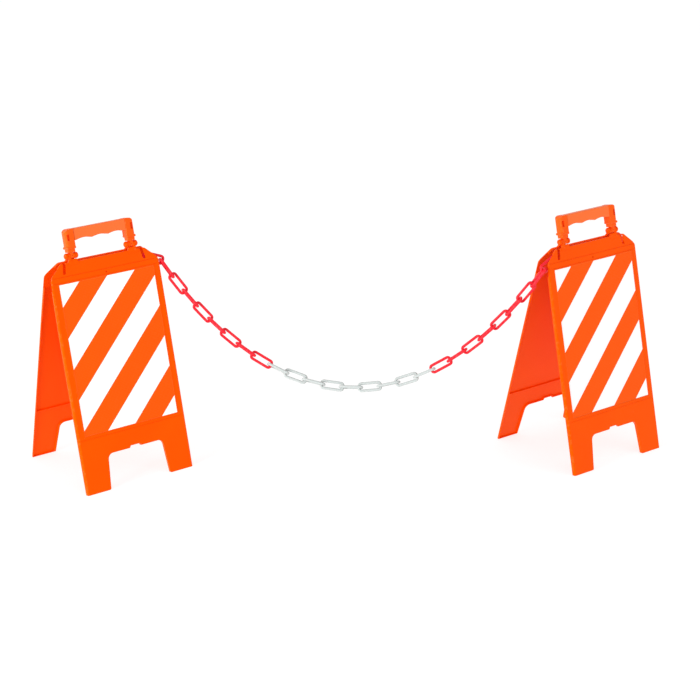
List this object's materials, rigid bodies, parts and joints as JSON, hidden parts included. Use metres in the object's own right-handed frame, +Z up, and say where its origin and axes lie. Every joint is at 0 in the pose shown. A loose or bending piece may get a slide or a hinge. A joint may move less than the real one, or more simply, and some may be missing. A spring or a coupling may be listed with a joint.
{
  "type": "a frame barricade",
  "caption": "Kit of folding orange plastic A-frame stands with striped sheets and carry handles, joined by a hanging red and white plastic chain.",
  "frame": {"origin": "on the floor, midway between the two stands", "axes": "+Z up; each stand's hinge line runs along X; front faces towards -Y; the right stand (+X) stands nearer the front than the left one"},
  "size_m": [1.357, 0.933, 0.6394],
  "materials": {
    "orange_panel_plastic": "moulded, satin gloss",
    "orange_handle_plastic": "moulded, satin gloss",
    "orange_grip_plastic": "fine matt texture",
    "orange_pin_plastic": "moulded, satin gloss",
    "striped_sheet": "printed sheet with diagonal orange stripes",
    "red_link_plastic": "moulded, satin gloss",
    "white_link_plastic": "moulded, satin gloss"
  },
  "bodies": {
    "root": {"left_front_panel": "orange_panel_plastic", "left_front_sheet": "striped_sheet", "left_left_hinge_pin": "orange_pin_plastic", "left_left_pin_cap": "orange_pin_plastic", "left_right_hinge_pin": "orange_pin_plastic", "left_right_pin_cap": "orange_pin_plastic", "right_front_panel": "orange_panel_plastic", "right_front_sheet": "striped_sheet", "right_left_hinge_pin": "orange_pin_plastic", "right_left_pin_cap": "orange_pin_plastic", "right_right_hinge_pin": "orange_pin_plastic", "right_right_pin_cap": "orange_pin_plastic", "chain_link_01": "red_link_plastic", "chain_link_27": "red_link_plastic"},
    "left_rear_leaf": {"left_rear_panel": "orange_panel_plastic", "left_rear_sheet": "striped_sheet"},
    "left_handle": {"left_handle_frame": "orange_handle_plastic", "left_handle_grip": "orange_grip_plastic"},
    "right_rear_leaf": {"right_rear_panel": "orange_panel_plastic", "right_rear_sheet": "striped_sheet"},
    "right_handle": {"right_handle_frame": "orange_handle_plastic", "right_handle_grip": "orange_grip_plastic"},
    "hanging_chain": {"chain_link_02": "red_link_plastic", "chain_link_03": "red_link_plastic", "chain_link_04": "red_link_plastic", "chain_link_05": "red_link_plastic", "chain_link_06": "red_link_plastic", "chain_link_07": "red_link_plastic", "chain_link_08": "red_link_plastic", "chain_link_09": "red_link_plastic", "chain_link_10": "white_link_plastic", "chain_link_11": "white_link_plastic", "chain_link_12": "white_link_plastic", "chain_link_13": "white_link_plastic", "chain_link_14": "white_link_plastic", "chain_link_15": "white_link_plastic", "chain_link_16": "white_link_plastic", "chain_link_17": "white_link_plastic", "chain_link_18": "white_link_plastic", "chain_link_19": "red_link_plastic", "chain_link_20": "red_link_plastic", "chain_link_21": "red_link_plastic", "chain_link_22": "red_link_plastic", "chain_link_23": "red_link_plastic", "chain_link_24": "red_link_plastic", "chain_link_25": "red_link_plastic", "chain_link_26": "red_link_plastic"}
  },
  "joints": [
    {"name": "left_fold", "type": "hinge", "parent": "root", "child": "left_rear_leaf", "pos_m": [-0.525, 0.315, 0.57236], "axis": [-1, 0, 0], "range_deg": [0, 28]},
    {"name": "left_handle_tilt", "type": "hinge", "parent": "root", "child": "left_handle", "pos_m": [-0.525, 0.315, 0.57236], "axis": [1, 0, 0], "range_deg": [0, 28]},
    {"name": "right_fold", "type": "hinge", "parent": "root", "child": "right_rear_leaf", "pos_m": [0.525, -0.315, 0.57236], "axis": [-1, 0, 0], "range_deg": [0, 28]},
    {"name": "right_handle_tilt", "type": "hinge", "parent": "root", "child": "right_handle", "pos_m": [0.525, -0.315, 0.57236], "axis": [1, 0, 0], "range_deg": [0, 28]},
    {"name": "chain_swing", "type": "hinge", "parent": "root", "child": "hanging_chain", "pos_m": [0, -0.01357, 0.51795], "axis": [0.7542, -0.6567, 0], "range_deg": [-15, 15]}
  ]
}
